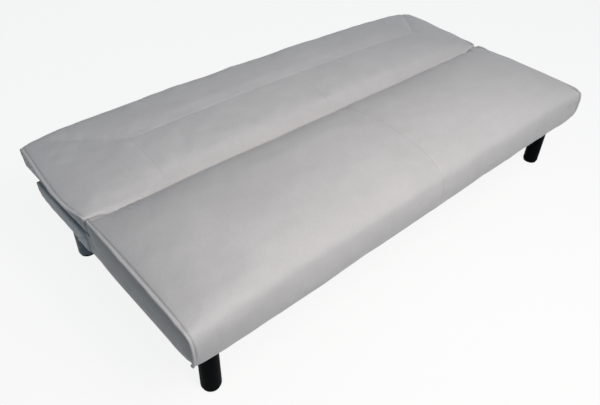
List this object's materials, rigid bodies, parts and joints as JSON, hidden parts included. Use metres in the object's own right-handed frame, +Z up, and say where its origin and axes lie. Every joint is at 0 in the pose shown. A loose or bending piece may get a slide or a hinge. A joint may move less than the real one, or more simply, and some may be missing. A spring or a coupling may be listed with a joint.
{
  "type": "click clack sofa bed",
  "caption": "Armless click clack sofa bed laid flat: crowned leatherette seat and hinged back, piped ends, low rear frame, round legs and a ratchet hinge at each end.",
  "frame": {"origin": "on the floor, under the middle of the bed's length and depth", "axes": "+X along the bed's length, +Y from the seat's front to the back section's rear, +Z up"},
  "size_m": [1.7, 0.86, 0.382],
  "materials": {
    "padded_leatherette": "satin",
    "end_leatherette": "satin",
    "lining_cloth": "matte",
    "timber": "matte",
    "plywood": "matte",
    "hardboard": "matte",
    "black_leg": "satin",
    "rear_leg": "satin",
    "glide_plastic": "matte",
    "zinc_plate": "satin",
    "black_steel": "satin",
    "spring_steel": "polished"
  },
  "bodies": {
    "base": {"dust_cover": "lining_cloth", "front_leg_glide_left": "glide_plastic", "front_leg_glide_right": "glide_plastic", "front_leg_left": "black_leg", "front_leg_plate_left": "black_steel", "front_leg_plate_right": "black_steel", "front_leg_right": "black_leg", "hinge_base_bolt_left_1": "black_steel", "hinge_base_bolt_left_2": "black_steel", "hinge_base_bolt_right_1": "black_steel", "hinge_base_bolt_right_2": "black_steel", "hinge_base_plate_left": "zinc_plate", "hinge_base_plate_right": "zinc_plate", "hinge_pawl_spring_left": "spring_steel", "hinge_pawl_spring_right": "spring_steel", "hinge_rivet_left": "black_steel", "hinge_rivet_right": "black_steel", "rear_frame_board": "hardboard", "rear_frame_rail": "timber", "rear_frame_side_left": "timber", "rear_frame_side_right": "timber", "rear_leg_glide_left": "glide_plastic", "rear_leg_glide_right": "glide_plastic", "rear_leg_left": "rear_leg", "rear_leg_plate_left": "black_steel", "rear_leg_plate_right": "black_steel", "rear_leg_right": "rear_leg", "seat_centre_rail": "timber", "seat_cushion": "padded_leatherette", "seat_deck": "plywood", "seat_end_board_left": "end_leatherette", "seat_end_board_right": "end_leatherette", "seat_front_rail": "timber", "seat_leg_block_left": "timber", "seat_leg_block_right": "timber", "seat_rear_rail": "timber", "seat_side_rail_left": "timber", "seat_side_rail_right": "timber"},
    "back": {"back_board": "hardboard", "back_centre_stile": "timber", "back_cushion": "padded_leatherette", "back_end_board_left": "end_leatherette", "back_end_board_right": "end_leatherette", "back_front_rail": "timber", "back_lining": "lining_cloth", "back_rear_rail": "timber", "back_side_rail_left": "timber", "back_side_rail_right": "timber", "hinge_arm_bolt_left_1": "black_steel", "hinge_arm_bolt_left_2": "black_steel", "hinge_arm_bolt_right_1": "black_steel", "hinge_arm_bolt_right_2": "black_steel", "hinge_arm_left": "zinc_plate", "hinge_arm_right": "zinc_plate"},
    "pawl_left": {"hinge_pawl_left": "black_steel"},
    "pawl_right": {"hinge_pawl_right": "black_steel"}
  },
  "joints": [
    {"name": "back_recline", "type": "hinge", "parent": "base", "child": "back", "pos_m": [0, 0.031, 0.315], "axis": [1, 0, 0], "range_deg": [0, 80]},
    {"name": "pawl_left_lift", "type": "hinge", "parent": "base", "child": "pawl_left", "pos_m": [-0.8317, -0.025, 0.241], "axis": [-1, 0, 0], "range_deg": [0, 12], "stiffness_Nm_per_rad": 0.5, "springref_deg": -22.92, "deforming": ["hinge_pawl_spring_left"]},
    {"name": "pawl_right_lift", "type": "hinge", "parent": "base", "child": "pawl_right", "pos_m": [0.8317, -0.025, 0.241], "axis": [-1, 0, 0], "range_deg": [0, 12], "stiffness_Nm_per_rad": 0.5, "springref_deg": -22.92, "deforming": ["hinge_pawl_spring_right"]}
  ]
}
